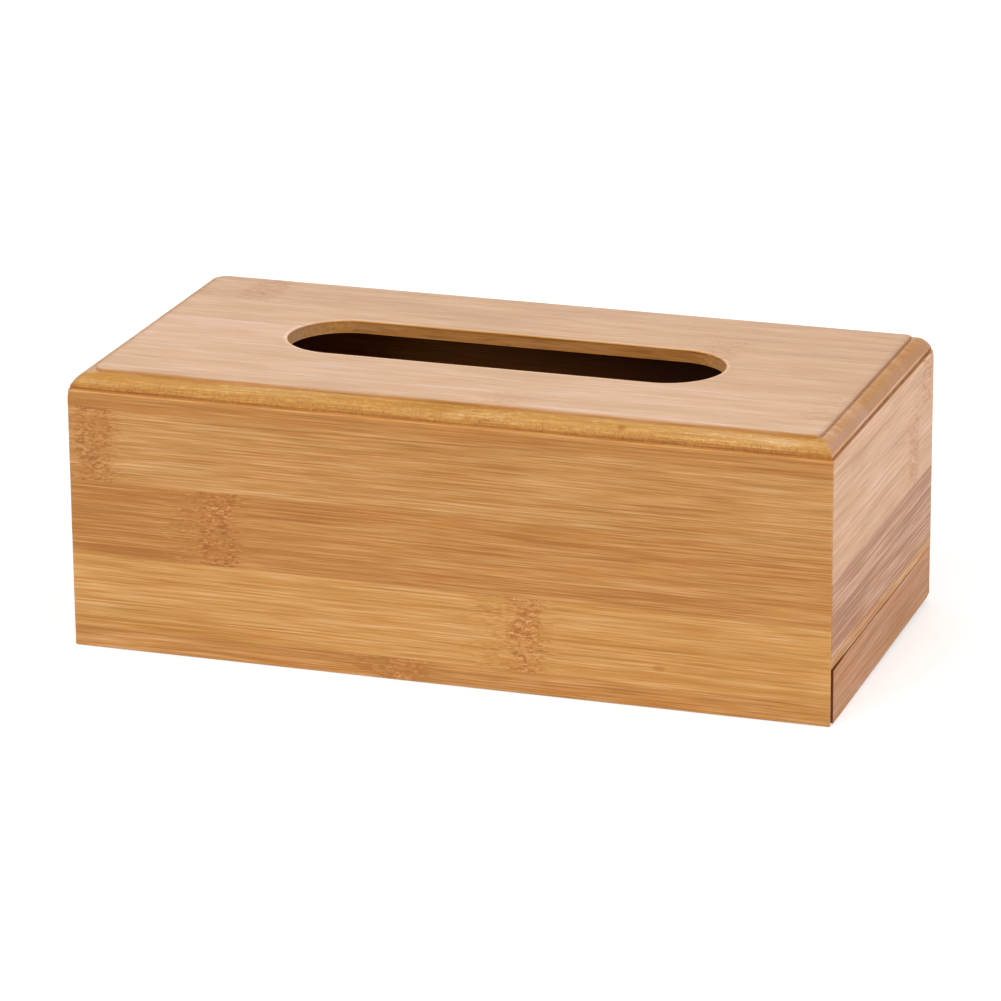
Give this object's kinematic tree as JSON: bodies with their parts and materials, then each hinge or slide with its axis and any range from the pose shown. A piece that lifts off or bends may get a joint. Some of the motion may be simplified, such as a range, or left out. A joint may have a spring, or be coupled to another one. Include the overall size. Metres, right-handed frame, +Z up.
{
  "type": "tissue box cover",
  "caption": "Long bamboo tissue box cover with mitred walls, a stadium slot in the beaded top, and a base that slides out in grooves with its pull strip.",
  "frame": {"origin": "centre of the footprint, on the plane that the rim stands on", "axes": "+X along the length to the end with the pull strip, -Y to the front wall, +Z up"},
  "size_m": [0.26, 0.128, 0.095],
  "materials": {
    "amber_bamboo": "satin lacquer",
    "golden_bamboo": "satin lacquer",
    "brown_bamboo": "satin lacquer",
    "pale_bamboo": "satin lacquer",
    "rosy_bamboo": "satin lacquer",
    "streaked_bamboo": "satin lacquer"
  },
  "bodies": {
    "box": {"front_wall_strip_1": "brown_bamboo", "front_wall_strip_2": "golden_bamboo", "front_wall_strip_3": "brown_bamboo", "front_wall_strip_4": "amber_bamboo", "front_wall_strip_5": "brown_bamboo", "back_wall_strip_1": "amber_bamboo", "back_wall_strip_2": "brown_bamboo", "back_wall_strip_3": "golden_bamboo", "back_wall_strip_4": "amber_bamboo", "left_end_strip_1": "amber_bamboo", "left_end_strip_2": "golden_bamboo", "left_end_strip_3": "brown_bamboo", "left_end_strip_4": "amber_bamboo", "right_end_strip_1": "golden_bamboo", "right_end_strip_2": "streaked_bamboo", "right_end_strip_3": "rosy_bamboo", "right_end_strip_4": "rosy_bamboo", "top_strip_1": "pale_bamboo", "top_strip_2": "pale_bamboo", "top_strip_3_left": "pale_bamboo", "top_strip_3_right": "pale_bamboo", "top_strip_4": "pale_bamboo", "top_strip_5": "pale_bamboo", "top_strip_6": "pale_bamboo"},
    "base": {"base_strip_1": "golden_bamboo", "base_strip_2": "amber_bamboo", "base_strip_3": "brown_bamboo", "base_strip_4": "amber_bamboo", "base_strip_5": "golden_bamboo", "base_strip_6": "brown_bamboo", "pull_strip": "streaked_bamboo"}
  },
  "joints": [
    {"name": "base_slide", "type": "slide", "parent": "box", "child": "base", "axis": [1, 0, 0], "range_m": [0, 0.262]}
  ]
}
